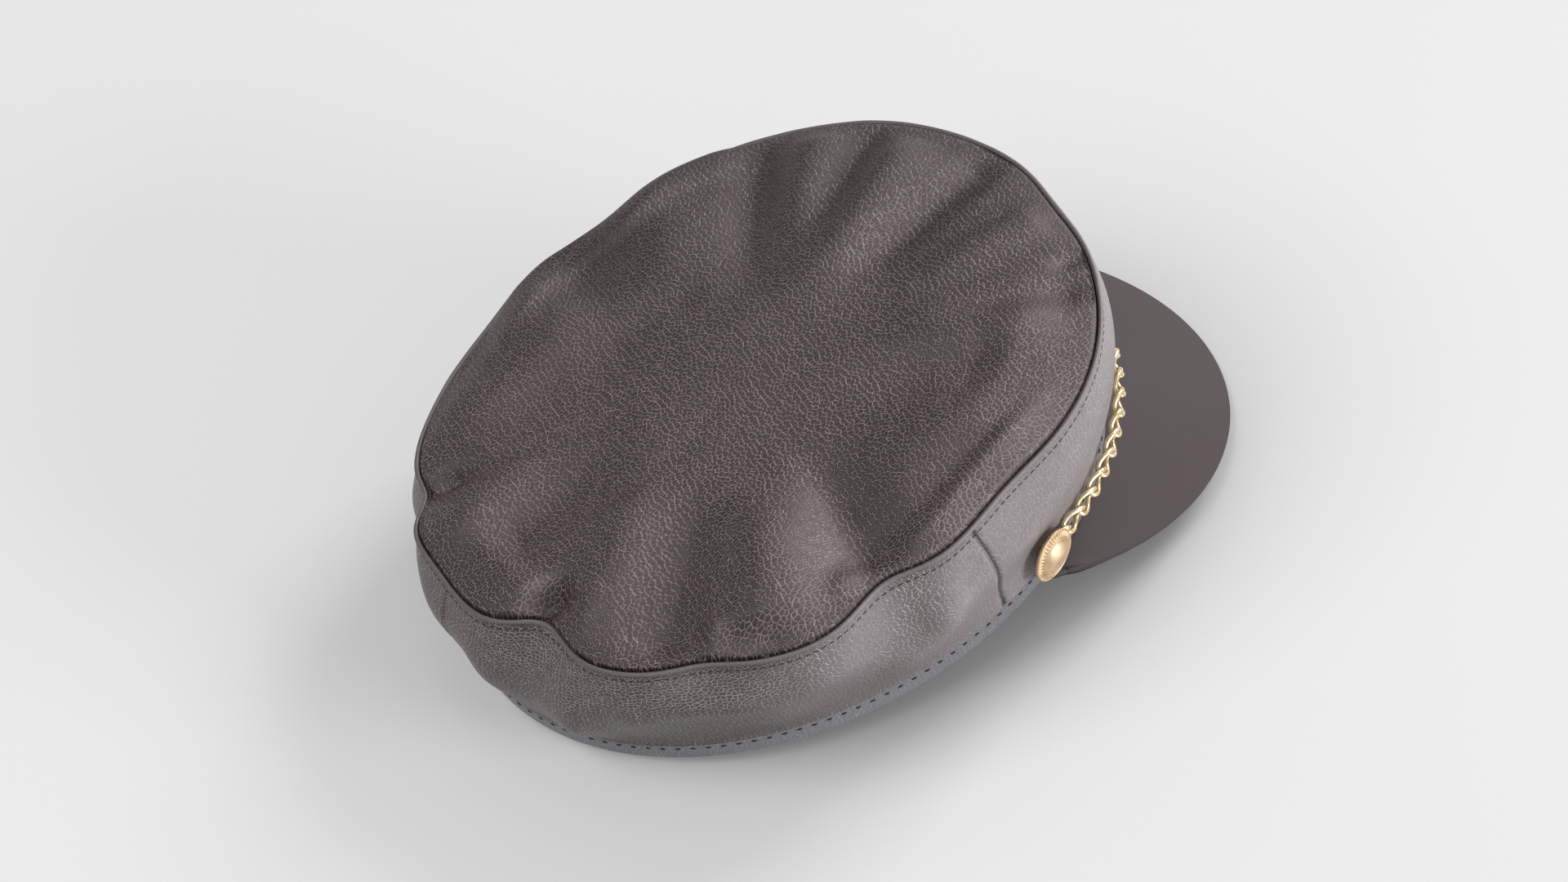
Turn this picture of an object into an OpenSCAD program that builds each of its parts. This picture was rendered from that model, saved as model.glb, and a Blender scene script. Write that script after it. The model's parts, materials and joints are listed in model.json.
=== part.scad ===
// Peaked leather mariner cap: soft crown, banded head opening, stiff visor,
// and a chain held by two turning buttons.
// Angles run around the head: 0 is the front (-Y), +90 the wearer's left (+X).
// The cap is drawn in its head frame, with the band's lower edge at Z = 0,
// then laid down on the lower edge of the visor and the back of the band.

/* [Band] */
// Outside length of the band, front to back
band_length = 212; // [204:1:220]
// Outside width of the band
band_width = 172; // [164:1:180]
// Height of the band strip
band_height = 7; // [6:0.5:8]
// Thickness of the band leather
band_leather = 1.1; // [0.9:0.1:1.2]
// Thickness of the stiffening tape folded into the band
tape_t = 1; // [0.8:0.1:1]
// Height of the sweatband
sweatband_height = 32; // [26:1:34]

/* [Crown] */
// Length of the crown seam, front to back
crown_length = 216; // [210:1:222]
// Width of the crown seam
crown_width = 180; // [174:1:186]
// How far the crown sits ahead of the band
crown_ahead = 3.3; // [2:0.1:5]
// Height of the crown seam at the front
front_height = 60; // [56:1:64]
// Height of the crown seam at the back
back_height = 51; // [48:1:54]
// How far the side wall bows outwards
wall_bulge = 4.5; // [3:0.5:5.5]
// How far the top panel rises above its seam
top_rise = 6; // [4:0.5:8]
// Thickness of the crown leather
leather = 1.1; // [0.9:0.1:1.2]
// Diameter of the roll at the crown seam
roll_d = 2.4; // [2:0.1:2.6]

/* [Visor] */
// Width of the visor
visor_width = 156; // [152:1:160]
// How far the visor stands out ahead of the band
visor_reach = 42; // [38:1:46]
// How far the visor drops below the band
visor_drop = 41; // [36:1:44]
// Thickness of the visor's upper leather
visor_leather = 1; // [0.8:0.1:1.2]
// Thickness of the visor's stiff board
board_t = 1.8; // [1.5:0.1:2.2]
// Thickness of the visor's under leather
under_t = 0.8; // [0.6:0.1:1]

/* [Chain and buttons] */
// Angle of each button from the front
button_angle = 62; // [60:1:63]
// Height of the buttons above the band's lower edge
button_height = 13; // [12.5:0.5:14]
// Diameter of the reeded button rim
button_d = 17; // [16:0.5:17]
// Diameter of the button shank
shank_d = 3; // [2.6:0.1:3.2]
// Running clearance between shank and leather, on the radius
shank_clearance = 0.05; // [0.02:0.01:0.1]
// Number of chain links on each side of the middle one
links_each_side = 12; // [12:1:12]
// Thickness of the chain wire
wire_d = 1.6; // [1.4:0.1:1.6]
// Inside width of a chain link
link_inside = 4; // [4:0.1:4.2]

/* [Hidden] */

LEATHER = [0.42, 0.38, 0.37];
LEATHER_BAND = [0.55, 0.53, 0.54];
THREAD = [0.16, 0.14, 0.14];
CLOTH = [0.22, 0.2, 0.2];
BOARD = [0.3, 0.28, 0.26];
GOLD = [0.83, 0.68, 0.38];

// Number of steps around the head
STEPS = 60;
$fn = 48;

// Puckers of the crown seam: [angle, depth inwards, spread in degrees].
// A negative depth is a stretch that swells outwards.
PUCKERS = [
    [-156, 9, 6], [-135, -2, 9], [-124, 1.5, 4], [-109, -4, 9], [-93, 5, 5],
    [-68, 3, 8], [-40, -2.5, 14], [-3, 2, 7], [43, -1.5, 12], [93, 5, 7], [120, 2.5, 8],
    [148, -1.5, 6], [159, 3, 3], [167, -2.5, 5]
];

half_w = band_width / 2;
half_l = band_length / 2;
band_depth = 2 * band_leather + tape_t;
crown_half_w = crown_width / 2;
crown_half_l = crown_length / 2;
// The panels end below the roll, and each inner layer lies behind the one outside it
roll_r = roll_d / 2;
wall_drop = roll_d + 0.3;
stiffener_in = leather + 0.05;
stiffener_out = stiffener_in + 0.9;
lining_in = stiffener_out + 0.3;
lining_t = 0.6;
interlining_t = 2;
sweat_t = 1;
crown_inset = leather + 0.6;
sweat_in = 2;
// Angle of the seams between the front and side panels, below and above
panel_seam_low = 72.5;
panel_seam_high = 76.7;
seam_gap = 0.08;
visor_half_w = visor_width / 2;
visor_edge_y = -56;
visor_edge_l = half_l + visor_reach + visor_edge_y;
visor_t = visor_leather + board_t + under_t;
visor_power = 0.83;
visor_bow = 1.5;
under_inset = 0.6;
// Offsets along the shank from the band's outer face; outwards is positive
loop_offset = 1.9;
loop_wire = 1.4;
rim_offset = 3.6;
rim_t = 1.6;
dome_h = 2.4;
dome_wall = 0.6;
dome_r = button_d / 2 - 2;
shank_end = -4.8;
washer_offset = -3.5;
retainer_offset = -4.5;
loop_reach = 11;

function wrap(angle) = angle - 360 * round(angle / 360);
function bump(angle, centre, spread) = exp(-pow(wrap(angle - centre) / spread, 2) / 2);
function total(values, i = 0) = i == len(values) ? 0 : values[i] + total(values, i + 1);
function mix(a, b, t) = a + (b - a) * t;
function unit(v) = v / norm(v);
function turned(v, tilt) = [
    v.x, v.y * cos(tilt) + v.z * sin(tilt), -v.y * sin(tilt) + v.z * cos(tilt)
];

// Outline of the band, its outward direction, and the crown seam above it
function outward(a) = unit([sin(a) / half_w, -cos(a) / half_l]);
function rim(a) = [half_w * sin(a), -half_l * cos(a)];
function seam(a) = [crown_half_w * sin(a), -crown_ahead - crown_half_l * cos(a)];
function seam_height(a) = mix(back_height, front_height, (1 + cos(a)) / 2);
function pucker(a) = total([for (p = PUCKERS) p[1] * bump(a, p[0], p[2])]);

// The leather is drawn in around each button
function drawn_in(a, z) = 0.85 * bump(z, button_height, 9)
    * (bump(a, button_angle, 9) + bump(a, -button_angle, 9));

// Point of the side wall: s runs from the band (0) to the crown seam (1),
// and depth is measured inwards from the outer face
function wall_z(a, s) = mix(band_height, seam_height(a) - wall_drop, s);
function wall(a, s, depth) = let (
        z = wall_z(a, s),
        slack = 1 - drawn_in(a, z),
        lean = (seam(a) - rim(a)) * s * slack,
        bulge = wall_bulge * sin(180 * pow(s, 1.3)) * slack,
        off = bulge - pucker(a) * pow(s, 2.2) - depth,
        p = rim(a) + lean + off * outward(a)
    ) [p.x, p.y, z];
WALL_STEPS = [0, 0.05, 0.15, 0.35, 0.6, 0.8, 0.94, 1];

// The wall's columns run round the head from one panel seam: the front panel has
// the first ones, then come the left and the right side panels
FRONT_COLUMNS = 24;
SIDE_COLUMNS = 18;
LEFT_END = FRONT_COLUMNS + SIDE_COLUMNS;
ALL_COLUMNS = LEFT_END + SIDE_COLUMNS;
function panel_seam(s) = mix(panel_seam_low, panel_seam_high, s);
function column_angle(c, s) = c <= FRONT_COLUMNS
    ? panel_seam(s) * (2 * c / FRONT_COLUMNS - 1)
    : c <= LEFT_END
        ? mix(panel_seam(s), 180, (c - FRONT_COLUMNS) / SIDE_COLUMNS)
        : mix(-180, -panel_seam(s), (c - LEFT_END) / SIDE_COLUMNS);

// Section of a wall layer at a column, moved sideways by an angle
function wall_section(c, steps, near, far, shift = 0) = let (n = len(steps)) [
    for (s = steps) wall(column_angle(c, s) + shift, s, near),
    for (k = [n - 1 : -1 : 0]) wall(column_angle(c, steps[k]) + shift, steps[k], far)
];

// Point of the crown's layers: r runs from the centre (0) to the edge (1)
function crown(a, r, drop) = let (
        edge = seam(a) - (pucker(a) + crown_inset) * outward(a),
        centre = [0, -crown_ahead],
        p = mix(centre, edge, r),
        rise = top_rise * (1 - pow(r, 5)),
        fold = max(0, pucker(a)) * 0.9 * pow(r, 3) * (1 - pow(r, 8))
    ) [p.x, p.y, mix(seam_height(90), seam_height(a), r) + rise - fold - drop];
CROWN_STEPS = [0.3, 0.55, 0.75, 0.87, 0.95, 1];

// Point of the visor: t runs across it from -90 to 90, v from the root (0) to the
// edge (1), negative v is the allowance under the band; depth is measured downwards
function visor_root(t) = let (p = rim(t * button_angle / 90)) [p.x, p.y, 0];
function visor_edge(t) = [
    visor_half_w * sin(t),
    visor_edge_y - visor_edge_l * cos(t),
    -visor_drop * pow(max(0, cos(t)), visor_power)
];
function visor(t, v, depth) = let (
        root = visor_root(t),
        edge = visor_edge(t),
        run = unit(edge - root),
        flat = unit([edge.x - root.x, edge.y - root.y]),
        slope = asin(-run.z),
        up = [flat.x * sin(slope), flat.y * sin(slope), cos(slope)],
        out = outward(t * button_angle / 90)
    ) v < 0
        ? root - [out.x, out.y, 0] * band_depth - [0, 0, depth]
        : v == 0
            ? root - (up + [0, 0, 1]) / (1 + up.z) * depth
            : mix(root, edge, v) + up * (visor_bow * sin(180 * v) * cos(t) - depth);
VISOR_STEPS = [-1, 0, 0.25, 0.5, 0.75];
// Point at a depth, set back from the visor's edge
function visor_rim(t, depth, inset) = let (
        from = visor(t, 0.75, depth),
        to = visor(t, 1, depth)
    ) mix(to, from, inset / norm(to - from));
VISOR_TURNS = [for (i = [-10 : 10]) -9 * i];

// How the cap lies: tilt puts the visor's lower edge level with the back of the band
visor_low = visor_rim(0, visor_t, under_inset);
rest_tilt = atan2(-visor_low.z, half_l - visor_low.y);
ANGLES = [for (i = [0 : STEPS - 1]) -180 + 360 * i / STEPS];
outer_points = [
    for (a = ANGLES) each concat(
        [for (s = WALL_STEPS) wall(a, s, 0)],
        [for (r = CROWN_STEPS) crown(a, r, 0)],
        [for (k = [0 : 7]) roll_point(a, k * 45)],
        [[rim(a).x, rim(a).y, 0]]
    ),
    crown(0, 0, 0),
    for (t = VISOR_TURNS) each [visor_edge(t), visor_rim(t, visor_t, under_inset)]
];
laid_points = [for (p = outer_points) turned(p, rest_tilt)];
low = [for (k = [0 : 2]) min([for (p = laid_points) p[k]])];
high = [for (k = [0 : 2]) max([for (p = laid_points) p[k]])];
lay_shift = [-(low.x + high.x) / 2, -(low.y + high.y) / 2, -low.z];

module lay() {
    translate(lay_shift) rotate([-rest_tilt, 0, 0]) children();
}

// Solid through a row of closed sections; a loop row joins its last section to the first.
// The two long sides are split the same way, so that layers lie flat on each other
module loft(sections, loop = false) {
    n = len(sections);
    m = len(sections[0]);
    last = loop ? n - 1 : n - 2;
    sides = [
        for (i = [0 : last], j = [0 : m - 1]) let (
            a = i * m + j,
            b = i * m + (j + 1) % m,
            c = ((i + 1) % n) * m + (j + 1) % m,
            d = ((i + 1) % n) * m + j
        ) each j < m / 2 ? [[a, b, c], [a, c, d]] : [[a, b, d], [b, c, d]]
    ];
    // An end is a strip between the section's two long sides
    ends = loop ? [] : [
        for (j = [0 : m / 2 - 2]) let (k = m - 1 - j, e = (n - 1) * m)
            each [
                [j, k, k - 1], [j, k - 1, j + 1],
                [e + j, e + k - 1, e + k], [e + j, e + j + 1, e + k - 1]
            ]
    ];
    polyhedron([for (s = sections) each s], concat(sides, ends), convexity = 8);
}

// Closed solid of two poles with rings of points between them
module capped_rings(first, rings, last) {
    m = len(rings[0]);
    n = len(rings);
    end = n * m + 1;
    faces = concat(
        [for (j = [0 : m - 1]) [0, 1 + (j + 1) % m, 1 + j]],
        [
            for (i = [0 : n - 2], j = [0 : m - 1]) let (
                a = 1 + i * m + j,
                b = 1 + i * m + (j + 1) % m
            ) each i < n / 2 ? [[a, b, b + m], [a, b + m, a + m]] : [[a, b, a + m], [b, b + m, a + m]]
        ],
        [for (j = [0 : m - 1]) [end, end - m + j, end - m + (j + 1) % m]]
    );
    polyhedron(concat([first], [for (r = rings) each r], [last]), faces, convexity = 8);
}

// A layer of the crown's top, between two depths below its outer face
module crown_layer(top, bottom) {
    rings = concat(
        [for (r = CROWN_STEPS) [for (a = ANGLES) crown(a, r, top)]],
        [for (k = [len(CROWN_STEPS) - 1 : -1 : 0])
            [for (a = ANGLES) crown(a, CROWN_STEPS[k], bottom)]]
    );
    capped_rings(crown(0, 0, top), rings, crown(0, 0, bottom));
}

// One panel of the wall, from its first column to its last, clear of its neighbours
module panel(first, last) {
    loft([
        for (c = [first : last]) wall_section(c, WALL_STEPS, 0, leather,
            c == first ? seam_gap : c == last ? -seam_gap : 0)
    ]);
}

// Section of a ring that stands on the band's outline, from [depth, height] pairs
function rim_section(a, profile) = [
    for (p = profile) let (q = rim(a) - p[0] * outward(a)) [q.x, q.y, p[1]]
];

// Centre and surface of the roll along the crown seam
function roll_point(a, k) = let (
        q = seam(a) - (pucker(a) - 0.2 - roll_r * cos(k)) * outward(a)
    ) [q.x, q.y, seam_height(a) - 0.2 - roll_r + roll_r * sin(k)];

// Two stitches on each flat of a closed row of points
module stitch_row(points, length) {
    for (i = [0 : len(points) - 1], half = [0.25, 0.75]) {
        from = points[i];
        to = points[(i + 1) % len(points)];
        run = to - from;
        translate(mix(from, to, half))
            rotate([0, -asin(run.z / norm(run)), atan2(run.y, run.x)])
                translate([-length / 2, -0.42, -0.25]) cube([length, 0.4, 0.5]);
    }
}

// Puts a shape on a button's shank axis: side is -1 on the right, 1 on the left,
// and Z is the distance outwards from the band's outer face
module on_shank(side) {
    p = rim(side * button_angle);
    n = outward(side * button_angle);
    translate([p.x, p.y, button_height]) rotate([0, 90, atan2(n.y, n.x)]) children();
}

module shank_holes(radius) {
    for (side = [-1, 1])
        on_shank(side) translate([0, 0, -8]) cylinder(h = 12, r = radius);
}

// Centre line of the chain at an angle; X in its frame runs towards the wearer's left,
// Y up and Z outwards
function chain_sag(a) = 1 - pow(a / button_angle, 2);
function chain_centre(a) = let (p = rim(a) + (loop_offset + 4.3 * chain_sag(a)) * outward(a))
    [p.x, p.y, button_height - 4.5 * chain_sag(a)];
function chain_run(a) = unit(chain_centre(a + 1) - chain_centre(a - 1));
function frame_on(run, a) = let (up = unit(cross(concat(outward(a), [0]), run)))
    [run, up, cross(run, up)];
function placed(origin, frame, p) = origin + p.x * frame[0] + p.y * frame[1] + p.z * frame[2];

// The links share the run between the end loops, with a little slack at each joint
half_run = total([for (a = [0 : button_angle - 1]) norm(chain_centre(a + 1) - chain_centre(a))]);
link_slack = 0.5;
hook = (loop_wire + wire_d) / 2 + 0.2;
link_pitch = (half_run - loop_reach + hook - (wire_d + link_slack) / 2) / (links_each_side + 0.5);
link_half = (link_pitch + wire_d + link_slack) / 2;
function chain_step(a, length) = length / norm(chain_centre(a + 0.5) - chain_centre(a - 0.5));
function link_angle(k, a = 0) = k <= 0 ? a
    : link_angle(k - 1, a + chain_step(a + chain_step(a, link_pitch) / 2, link_pitch));

// Ring of round wire along a twisted oval: its ends are turned about X by their twists
WIRE_SIDES = 6;
function oval(half, inner, twists, u) = let (
        x = cos(u),
        turn = x > 0 ? twists[1] * pow(x, twists[2]) : twists[0] * pow(-x, twists[2]),
        w = inner * sin(u)
    ) [half * x, w * cos(turn), w * sin(turn)];
function wire_section(half, inner, wire, twists, u) = let (
        c = oval(half, inner, twists, u),
        along = unit(oval(half, inner, twists, u + 5) - oval(half, inner, twists, u - 5)),
        inward = unit([c.x * 0.6, c.y, c.z]),
        side = unit(cross(along, inward)),
        top = cross(along, side)
    ) [
        for (k = [0 : WIRE_SIDES - 1]) let (g = 360 * k / WIRE_SIDES)
            c + wire / 2 * (side * cos(g) - top * sin(g))
    ];
module wire_ring(origin, frame, half, inner, wire, twists, steps) {
    loft([
        for (i = [0 : steps - 1]) [
            for (p = wire_section(half, inner, wire, twists, 360 * i / steps))
                placed(origin, frame, p)
        ]
    ], loop = true);
}

module crown_top() {
    color(LEATHER) lay() crown_layer(0, leather);
}

module crown_interlining() {
    color(CLOTH) lay() crown_layer(leather, leather + interlining_t);
}

module crown_top_lining() {
    top = leather + interlining_t;
    color(CLOTH) lay() crown_layer(top, top + lining_t);
}

module front_panel() {
    color(LEATHER) lay() difference() {
        panel(0, FRONT_COLUMNS);
        shank_holes(shank_d / 2 + shank_clearance);
    }
}

module side_panel_left() {
    color(LEATHER) lay() panel(FRONT_COLUMNS, LEFT_END);
}

module side_panel_right() {
    color(LEATHER) lay() panel(LEFT_END, ALL_COLUMNS);
}

module crown_seam_roll() {
    color(LEATHER) lay()
        loft([for (a = ANGLES) [for (k = [0 : 5]) roll_point(a, 90 + 60 * k)]], loop = true);
}

module crown_topstitching() {
    level = 0.94;
    row = [for (c = [0 : ALL_COLUMNS - 1]) wall(column_angle(c, level), level, -0.16)];
    color(THREAD) lay() stitch_row(row, 3.2);
}

module front_stiffener() {
    steps = [for (s = WALL_STEPS) if (s > 0 && s < 1) s];
    color(BOARD) lay() difference() {
        loft([
            for (c = [1 : FRONT_COLUMNS - 1]) wall_section(c, steps, stiffener_in, stiffener_out)
        ]);
        shank_holes(shank_d / 2 + 0.4);
    }
}

module side_lining() {
    steps = [for (s = WALL_STEPS) if (s < 1) s];
    color(CLOTH) lay() difference() {
        loft([
            for (c = [0 : ALL_COLUMNS - 1])
                wall_section(c, steps, lining_in, lining_in + lining_t)
        ], loop = true);
        shank_holes(shank_d / 2 + 0.4);
    }
}

module band() {
    inner = band_leather + tape_t;
    profile = [
        [0, 0], [0, band_height],
        [band_leather, band_height], [band_leather, band_leather],
        [inner, band_leather], [inner, band_height],
        [band_depth, band_height], [band_depth, 0]
    ];
    color(LEATHER_BAND) lay() loft([for (a = ANGLES) rim_section(a, profile)], loop = true);
}

module band_stiffener() {
    far = band_leather + tape_t;
    profile = [
        [band_leather, band_leather], [band_leather, band_height],
        [far, band_height], [far, band_leather]
    ];
    color(BOARD) lay() loft([for (a = ANGLES) rim_section(a, profile)], loop = true);
}

module band_stitching() {
    row = [for (a = ANGLES) rim_section(a, [[-0.02, band_height - 1.8]])[0]];
    color(THREAD) lay() stitch_row(row, 3);
}

module sweatband() {
    near = band_depth + 0.05;
    far = near + sweat_in;
    top = sweatband_height;
    profile = [
        [near, 0.6], [near, 4.5], [far, 8.5], [far, top],
        [far + sweat_t, top], [far + sweat_t, 8.1], [near + sweat_t, 4.1], [near + sweat_t, 0.6]
    ];
    color(LEATHER) lay() loft([for (a = ANGLES) rim_section(a, profile)], loop = true);
}

module sweatband_joint_tape() {
    near = band_depth + 0.05 + sweat_in + sweat_t + 0.2;
    top = sweatband_height - 0.5;
    profile = [[near, 9], [near, top], [near + 0.4, top], [near + 0.4, 9]];
    color(LEATHER) lay() loft([for (a = [-184 : 2 : -176]) rim_section(a, profile)]);
}

// Section of a layer of the visor, between two depths and set back from the edge
function visor_section(t, top, bottom, inset) = let (n = len(VISOR_STEPS)) concat(
    [for (v = VISOR_STEPS) visor(t, v, top)],
    [visor_rim(t, top, inset), visor_rim(t, bottom, inset)],
    [for (k = [n - 1 : -1 : 0]) visor(t, VISOR_STEPS[k], bottom)]
);

// The upper leather turns down over the board's edge
module visor_top() {
    lip = visor_leather + board_t - 0.05;
    n = len(VISOR_STEPS);
    color(LEATHER) lay() loft([
        for (t = VISOR_TURNS) concat(
            [for (v = VISOR_STEPS) visor(t, v, 0)],
            [visor(t, 1, 0), visor(t, 1, lip)],
            [visor_rim(t, lip, visor_leather), visor_rim(t, visor_leather, visor_leather)],
            [for (k = [n - 1 : -1 : 0]) visor(t, VISOR_STEPS[k], visor_leather)]
        )
    ]);
}

module visor_board() {
    top = visor_leather + 0.02;
    bottom = visor_leather + board_t - 0.06;
    color(BOARD) lay()
        loft([for (t = VISOR_TURNS) visor_section(t, top, bottom, visor_leather + 0.1)]);
}

module visor_under() {
    top = visor_leather + board_t;
    color(LEATHER) lay()
        loft([for (t = VISOR_TURNS) visor_section(t, top, visor_t, under_inset)]);
}

module button_cap(side) {
    reeds = 40;
    rim_r = button_d / 2;
    color(GOLD) lay() on_shank(side) {
        translate([0, 0, rim_offset]) linear_extrude(rim_t) difference() {
            polygon([
                for (k = [0 : 2 * reeds - 1]) let (r = rim_r - 0.35 * (k % 2), g = 180 * k / reeds)
                    [r * cos(g), r * sin(g)]
            ]);
            circle(r = dome_r - dome_wall);
        }
        translate([0, 0, rim_offset + rim_t]) rotate_extrude() polygon(concat(
            [for (k = [0 : 8]) [dome_r * sin(90 - 11.25 * k), dome_h * sin(11.25 * k)]],
            [for (k = [8 : -1 : 0])
                [(dome_r - dome_wall) * sin(90 - 11.25 * k), (dome_h - dome_wall) * sin(11.25 * k)]]
        ));
    }
}

module button_base(side) {
    color(GOLD) lay() on_shank(side) {
        translate([0, 0, rim_offset]) cylinder(h = 0.8, r = dome_r - dome_wall - 0.05);
        translate([0, 0, shank_end]) cylinder(h = rim_offset - shank_end, d = shank_d);
    }
}

module shank_ring(side, offset, thickness, inner_r, outer_r) {
    color(GOLD) lay() on_shank(side) translate([0, 0, offset]) difference() {
        cylinder(h = thickness, r = outer_r);
        translate([0, 0, -1]) cylinder(h = thickness + 2, r = inner_r);
    }
}

module button_cap_right() {
    button_cap(-1);
}

module button_cap_left() {
    button_cap(1);
}

module button_base_right() {
    button_base(-1);
}

module button_base_left() {
    button_base(1);
}

module button_washer_right() {
    shank_ring(-1, washer_offset, 0.5, shank_d / 2 + 0.2, 4.2);
}

module button_washer_left() {
    shank_ring(1, washer_offset, 0.5, shank_d / 2 + 0.2, 4.2);
}

module button_retainer_right() {
    shank_ring(-1, retainer_offset, 0.8, shank_d / 2 + 0.02, 3);
}

module button_retainer_left() {
    shank_ring(1, retainer_offset, 0.8, shank_d / 2 + 0.02, 3);
}

module chain_links() {
    color(GOLD) lay() for (k = [-links_each_side : links_each_side]) {
        a = sign(k) * link_angle(abs(k));
        wire_ring(chain_centre(a), frame_on(chain_run(a), a),
            link_half, (link_inside + wire_d) / 2, wire_d, [-45, 45, 1], 14);
    }
}

// Long loop that hangs on the shank and turns over to meet the chain's last link
module chain_end_loop(side) {
    back = 3;
    a = side * link_angle(links_each_side);
    shank = chain_centre(side * button_angle);
    link_end = chain_centre(a) + side * link_half * chain_run(a);
    reach = norm(link_end - shank) + hook;
    run = side * unit(shank - link_end);
    centre = shank - side * run * (reach - back) / 2;
    color(GOLD) lay() wire_ring(centre, frame_on(run, side * button_angle),
        (reach + back) / 2, 2.9, loop_wire, side > 0 ? [-45, 0, 2] : [0, 45, 2], 28);
}

module chain_end_loop_right() {
    chain_end_loop(-1);
}

module chain_end_loop_left() {
    chain_end_loop(1);
}

crown_top();
crown_interlining();
crown_top_lining();
front_panel();
side_panel_right();
side_panel_left();
crown_seam_roll();
crown_topstitching();
front_stiffener();
side_lining();
band();
band_stiffener();
band_stitching();
sweatband();
sweatband_joint_tape();
visor_top();
visor_board();
visor_under();
button_cap_right();
button_base_right();
button_washer_right();
button_retainer_right();
button_cap_left();
button_base_left();
button_washer_left();
button_retainer_left();
chain_links();
chain_end_loop_right();
chain_end_loop_left();
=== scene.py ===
import json
import bpy
import numpy as np
from mathutils import Matrix, Vector


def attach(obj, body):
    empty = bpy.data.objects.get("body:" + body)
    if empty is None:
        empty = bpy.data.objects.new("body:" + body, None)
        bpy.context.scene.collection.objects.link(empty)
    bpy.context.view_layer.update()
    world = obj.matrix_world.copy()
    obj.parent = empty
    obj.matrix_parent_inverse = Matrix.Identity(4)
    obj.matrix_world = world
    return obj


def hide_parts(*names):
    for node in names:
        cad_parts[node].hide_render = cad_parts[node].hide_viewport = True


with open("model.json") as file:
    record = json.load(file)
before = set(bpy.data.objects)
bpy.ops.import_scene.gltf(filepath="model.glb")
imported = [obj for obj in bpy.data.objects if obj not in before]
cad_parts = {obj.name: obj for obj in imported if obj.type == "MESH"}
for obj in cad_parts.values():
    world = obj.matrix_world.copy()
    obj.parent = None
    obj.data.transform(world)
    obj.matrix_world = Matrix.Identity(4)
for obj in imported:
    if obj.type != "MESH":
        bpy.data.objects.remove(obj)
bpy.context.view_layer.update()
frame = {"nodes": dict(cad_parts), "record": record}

# The shapes are worked out in millimetres in the head frame, as in the CAD: angles run
# around the head, 0 at the front and +90 at the wearer's left, and the band's lower edge
# is at Z = 0. The mount on the head opening says where that frame lies.
MM = 0.001
OPENING = next(m for m in frame["record"]["mounts"] if m["name"] == "head_opening")
UP = -np.array(OPENING["axis"])
SIDE = np.array([1.0, 0.0, 0.0])
HEAD_AXES = np.array([SIDE, np.cross(UP, SIDE), UP])


def laid(points):
    """Head frame in millimetres to the frame in metres."""
    return np.array(OPENING["pos_m"]) + MM * np.asarray(points) @ HEAD_AXES


# ---- Dimensions, as in the CAD ----
HALF_W, HALF_L = 86.0, 106.0
BAND_H, BAND_LEATHER, BAND_DEPTH = 7.0, 1.1, 3.2
CROWN_W, CROWN_L, CROWN_AHEAD = 90.0, 108.0, 3.3
FRONT_H, BACK_H = 60.0, 51.0
WALL_BULGE, TOP_RISE, LEATHER = 4.5, 6.0, 1.1
WALL_DROP, ROLL_R = 2.7, 1.2
CROWN_INSET = LEATHER + 0.6
LAYER_GAP = 0.02
INTERLINING_T, LINING_T, LINING_IN = 2.0, 0.6, 2.35
SEAM_LOW, SEAM_HIGH = 72.5, 76.7
VISOR_W, VISOR_Y, VISOR_L, VISOR_DROP = 78.0, -56.0, 92.0, 41.0
VISOR_LEATHER, BOARD_T, UNDER_T = 1.0, 1.8, 0.8
VISOR_T = VISOR_LEATHER + BOARD_T + UNDER_T
BUTTON_ANGLE, BUTTON_H = 62.0, 13.0
LOOP_OFFSET, RIM_OFFSET = 1.9, 3.6
WIRE_D, LOOP_WIRE, LINK_SLACK = 1.6, 1.4, 0.5
LINK_INNER, LOOP_INNER = 2.8, 2.9
LOOP_REACH, LOOP_BACK, LINKS_EACH_SIDE = 11.0, 3.0, 12

# Puckers of the crown seam: angle, depth inwards, spread in degrees
PUCKERS = [
    (-156, 9, 6), (-135, -2, 9), (-124, 1.5, 4), (-109, -4, 9), (-93, 5, 5),
    (-68, 3, 8), (-40, -2.5, 14), (-3, 2, 7), (43, -1.5, 12), (93, 5, 7), (120, 2.5, 8),
    (148, -1.5, 6), (159, 3, 3), (167, -2.5, 5),
]
# Soft folds of the crown's top, running in from the seam:
# angle, where it starts and ends between centre (0) and seam (1), half width, height
CROWN_FOLDS = [
    (-112, 0.3, 1.0, 12, 1.9), (-153, 0.35, 0.9, 9, 1.1), (-122, 0.84, 1.03, 2.6, 1.0),
    (-98, 0.82, 1.04, 4, 1.1), (-167, 0.82, 1.0, 6, 0.9), (52, 0.35, 1.0, 7, 0.9),
    (32, 0.15, 0.95, 8, 1.1), (88, 0.4, 1.0, 13, 1.3), (-30, 0.15, 0.9, 9, 1.0),
    (-5, 0.4, 1.0, 6, 0.8), (120, 0.45, 0.95, 12, 1.2), (170, 0.6, 0.98, 7, 0.8),
    (-60, 0.5, 1.0, 12, 0.9), (140, 0.6, 1.0, 8, 0.7),
    (-131, 0.4, 1.0, 8, -1.5), (-93, 0.3, 0.98, 9, -1.7), (-178, 0.3, 0.85, 11, -1.2),
    (63, 0.2, 0.97, 6, -1.0), (41, 0.4, 0.97, 4.5, -0.7), (15, 0.3, 1.02, 5, -0.9),
    (-25, 0.5, 1.02, 4, -0.8), (-18, 0.88, 1.03, 2.2, -0.8), (-43, 0.2, 0.75, 9, -0.8),
    (104, 0.5, 1.0, 9, -1.0), (158, 0.8, 1.03, 3, -1.4), (-157, 0.84, 1.06, 2.6, -2.2),
    (-113, 0.9, 1.03, 5, -1.0), (-163, 0.84, 1.04, 3, 1.1), (-149, 0.8, 1.02, 4, 0.7),
    (-78, 0.84, 1.0, 11, 1.0), (-62, 0.86, 1.0, 9, 0.8),
]
FOLD_SCALE = 3.2
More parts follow.
